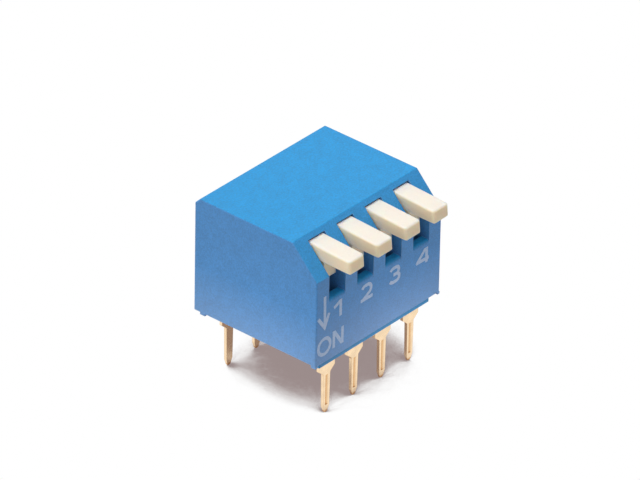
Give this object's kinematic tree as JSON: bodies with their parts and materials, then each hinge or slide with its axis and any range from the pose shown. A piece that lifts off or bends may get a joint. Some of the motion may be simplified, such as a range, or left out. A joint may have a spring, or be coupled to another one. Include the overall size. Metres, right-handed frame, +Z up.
{
  "type": "right angle dip switch",
  "caption": "Piano key DIP switch: blue moulded cover with sloping nose, cream rocker levers in slots, gold terminals in two rows below.",
  "frame": {"origin": "centre of the eight terminals' grid, in the plane of the board, where the terminals' shoulders stop", "axes": "+Z up, away from the board; the levers face -Y; X runs along the row with position 1 at -X"},
  "size_m": [0.0114, 0.0111, 0.0122],
  "materials": {
    "cover_plastic": "moulded, lightly matte blue",
    "base_plastic": "moulded, lightly matte blue",
    "lever_plastic": "moulded, lightly matte cream",
    "terminal_metal": "gold plated, bright",
    "contact_metal": "gold plated, bright"
  },
  "bodies": {
    "housing": {"cover": "cover_plastic", "base": "base_plastic", "front_terminal_1": "terminal_metal", "front_terminal_2": "terminal_metal", "front_terminal_3": "terminal_metal", "front_terminal_4": "terminal_metal", "rear_terminal_1": "terminal_metal", "rear_terminal_2": "terminal_metal", "rear_terminal_3": "terminal_metal", "rear_terminal_4": "terminal_metal"},
    "lever_1": {"lever_1": "lever_plastic", "contact_spring_1": "contact_metal"},
    "lever_2": {"lever_2": "lever_plastic", "contact_spring_2": "contact_metal"},
    "lever_3": {"lever_3": "lever_plastic", "contact_spring_3": "contact_metal"},
    "lever_4": {"lever_4": "lever_plastic", "contact_spring_4": "contact_metal"}
  },
  "joints": [
    {"name": "lever_1_rock", "type": "hinge", "parent": "housing", "child": "lever_1", "pos_m": [-0.00381, -0.0004, 0.00582], "axis": [1, 0, 0], "range_deg": [0, 16]},
    {"name": "lever_2_rock", "type": "hinge", "parent": "housing", "child": "lever_2", "pos_m": [-0.00127, -0.0004, 0.00582], "axis": [1, 0, 0], "range_deg": [0, 16]},
    {"name": "lever_3_rock", "type": "hinge", "parent": "housing", "child": "lever_3", "pos_m": [0.00127, -0.0004, 0.00582], "axis": [1, 0, 0], "range_deg": [0, 16]},
    {"name": "lever_4_rock", "type": "hinge", "parent": "housing", "child": "lever_4", "pos_m": [0.00381, -0.0004, 0.00582], "axis": [1, 0, 0], "range_deg": [0, 16]}
  ]
}
